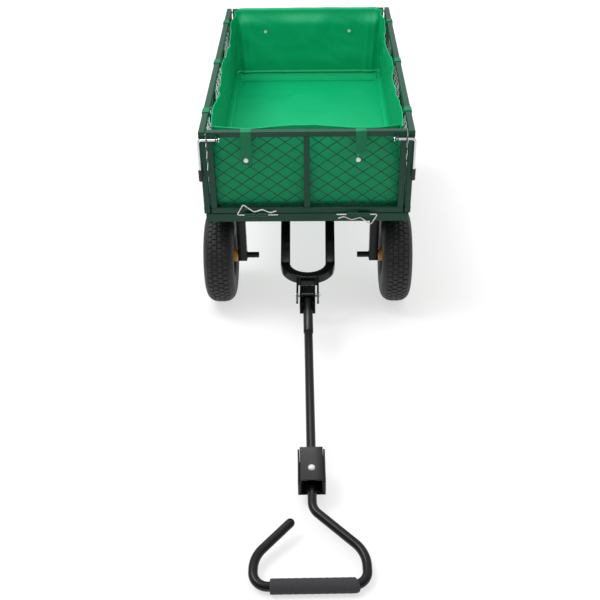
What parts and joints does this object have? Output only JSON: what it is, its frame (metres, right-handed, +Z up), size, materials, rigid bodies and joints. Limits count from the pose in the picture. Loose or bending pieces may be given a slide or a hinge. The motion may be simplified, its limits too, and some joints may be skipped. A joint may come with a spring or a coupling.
{
  "type": "garden cart",
  "caption": "Steel garden cart with a fabric-lined mesh body, fold-down latched sides, steered front axle, pneumatic wheels and a pull handle with a D grip",
  "frame": {"origin": "on the ground, under the middle of the whole cart with its handle laid down", "axes": "+X across the cart to its right as seen from in front, -Y the way the cart is pulled, +Z up"},
  "size_m": [0.564, 1.892, 0.5535],
  "materials": {
    "green_paint": "semi-gloss powder coat",
    "black_paint": "semi-gloss powder coat",
    "yellow_paint": "gloss enamel",
    "tyre_rubber": "moulded",
    "black_rubber": "matte",
    "black_foam": "closed-cell foam, matte",
    "chrome_plate": "polished",
    "zinc_plate": "zinc plated, satin",
    "bearing_steel": "machined",
    "liner_fabric": "coated woven, semi-gloss"
  },
  "bodies": {
    "chassis": {"deck_frame": "green_paint", "deck_mesh": "green_paint", "turntable_top": "black_paint", "kingpin": "zinc_plate", "liner_floor": "liner_fabric", "rear_axle_frame": "black_paint", "rear_stub_axles": "black_paint", "rear_wheel_retainers": "zinc_plate"},
    "front_axle": {"front_axle_frame": "black_paint", "front_stub_axles": "black_paint", "front_wheel_retainers": "zinc_plate", "turntable_bottom": "black_paint", "drawbar_loop": "black_paint", "drawbar_fork": "black_paint", "drawbar_bolt": "chrome_plate"},
    "handle": {"handle_channel": "black_paint", "handle_pole": "black_paint", "hitch_box_inner": "black_paint", "hitch_box_outer": "black_paint", "hitch_bolt": "chrome_plate", "d_handle_tube": "black_paint", "foam_grip": "black_foam"},
    "front_left_wheel": {"front_left_tyre": "tyre_rubber", "front_left_rim": "yellow_paint", "front_left_bearings": "bearing_steel"},
    "front_left_latch": {"front_left_latch_rod": "chrome_plate", "front_left_latch_tip": "black_rubber"},
    "front_right_wheel": {"front_right_tyre": "tyre_rubber", "front_right_rim": "yellow_paint", "front_right_bearings": "bearing_steel"},
    "front_right_latch": {"front_right_latch_rod": "chrome_plate", "front_right_latch_tip": "black_rubber"},
    "rear_left_wheel": {"rear_left_tyre": "tyre_rubber", "rear_left_rim": "yellow_paint", "rear_left_bearings": "bearing_steel"},
    "rear_left_latch": {"rear_left_latch_rod": "chrome_plate", "rear_left_latch_tip": "black_rubber"},
    "rear_right_wheel": {"rear_right_tyre": "tyre_rubber", "rear_right_rim": "yellow_paint", "rear_right_bearings": "bearing_steel"},
    "rear_right_latch": {"rear_right_latch_rod": "chrome_plate", "rear_right_latch_tip": "black_rubber"},
    "front_side": {"front_side_frame": "green_paint", "front_side_mesh": "green_paint", "front_liner": "liner_fabric", "front_liner_studs": "zinc_plate"},
    "rear_side": {"rear_side_frame": "green_paint", "rear_side_mesh": "green_paint", "rear_liner": "liner_fabric", "rear_liner_studs": "zinc_plate"},
    "left_side": {"left_side_frame": "green_paint", "left_side_mesh": "green_paint", "left_liner": "liner_fabric"},
    "right_side": {"right_side_frame": "green_paint", "right_side_mesh": "green_paint", "right_liner": "liner_fabric"},
    "front_right_clip": {"front_right_clip": "chrome_plate"},
    "front_left_clip": {"front_left_clip": "chrome_plate"},
    "rear_clips": {"rear_clips": "chrome_plate"},
    "side_clips": {"side_clips": "chrome_plate"}
  },
  "joints": [
    {"name": "steer", "type": "hinge", "parent": "chassis", "child": "front_axle", "pos_m": [0, 0.09, 0.29], "axis": [0, 0, 1], "range_deg": [-40, 40]},
    {"name": "handle_lift", "type": "hinge", "parent": "front_axle", "child": "handle", "pos_m": [0, -0.136, 0.15], "axis": [1, 0, 0], "range_deg": [-104, 0]},
    {"name": "front_left_wheel_spin", "type": "hinge", "parent": "front_axle", "child": "front_left_wheel", "pos_m": [-0.24, 0.09, 0.13], "axis": [1, 0, 0], "continuous": true},
    {"name": "front_right_wheel_spin", "type": "hinge", "parent": "front_axle", "child": "front_right_wheel", "pos_m": [0.24, 0.09, 0.13], "axis": [1, 0, 0], "continuous": true},
    {"name": "rear_left_wheel_spin", "type": "hinge", "parent": "chassis", "child": "rear_left_wheel", "pos_m": [-0.24, 0.816, 0.13], "axis": [1, 0, 0], "continuous": true},
    {"name": "rear_right_wheel_spin", "type": "hinge", "parent": "chassis", "child": "rear_right_wheel", "pos_m": [0.24, 0.816, 0.13], "axis": [1, 0, 0], "continuous": true},
    {"name": "front_side_fold", "type": "hinge", "parent": "chassis", "child": "front_side", "pos_m": [0, -0.025, 0.324], "axis": [1, 0, 0], "range_deg": [0, 120]},
    {"name": "rear_side_fold", "type": "hinge", "parent": "chassis", "child": "rear_side", "pos_m": [0, 0.931, 0.324], "axis": [-1, 0, 0], "range_deg": [0, 160]},
    {"name": "right_side_fold", "type": "hinge", "parent": "chassis", "child": "right_side", "pos_m": [0.272, 0.453, 0.324], "axis": [0, 1, 0], "range_deg": [0, 160]},
    {"name": "left_side_fold", "type": "hinge", "parent": "chassis", "child": "left_side", "pos_m": [-0.272, 0.453, 0.324], "axis": [0, -1, 0], "range_deg": [0, 160]},
    {"name": "front_left_latch_turn", "type": "hinge", "parent": "front_side", "child": "front_left_latch", "pos_m": [-0.235, -0.029, 0.535], "axis": [-1, 0, 0], "range_deg": [0, 170]},
    {"name": "front_right_latch_turn", "type": "hinge", "parent": "front_side", "child": "front_right_latch", "pos_m": [0.235, -0.029, 0.535], "axis": [-1, 0, 0], "range_deg": [0, 170]},
    {"name": "rear_left_latch_turn", "type": "hinge", "parent": "rear_side", "child": "rear_left_latch", "pos_m": [-0.235, 0.935, 0.535], "axis": [1, 0, 0], "range_deg": [0, 170]},
    {"name": "rear_right_latch_turn", "type": "hinge", "parent": "rear_side", "child": "rear_right_latch", "pos_m": [0.235, 0.935, 0.535], "axis": [1, 0, 0], "range_deg": [0, 170]},
    {"name": "front_right_clip_pull", "type": "slide", "parent": "chassis", "child": "front_right_clip", "axis": [1, 0, 0], "range_m": [0, 0.11]},
    {"name": "front_left_clip_pull", "type": "slide", "parent": "front_side", "child": "front_left_clip", "axis": [-1, 0, 0], "range_m": [0, 0.11]},
    {"name": "rear_clips_pull", "type": "slide", "parent": "chassis", "child": "rear_clips", "axis": [1, 0, 0], "range_m": [0, 0.11]},
    {"name": "side_clips_pull", "type": "slide", "parent": "chassis", "child": "side_clips", "axis": [0, -1, 0], "range_m": [0, 0.11]}
  ]
}
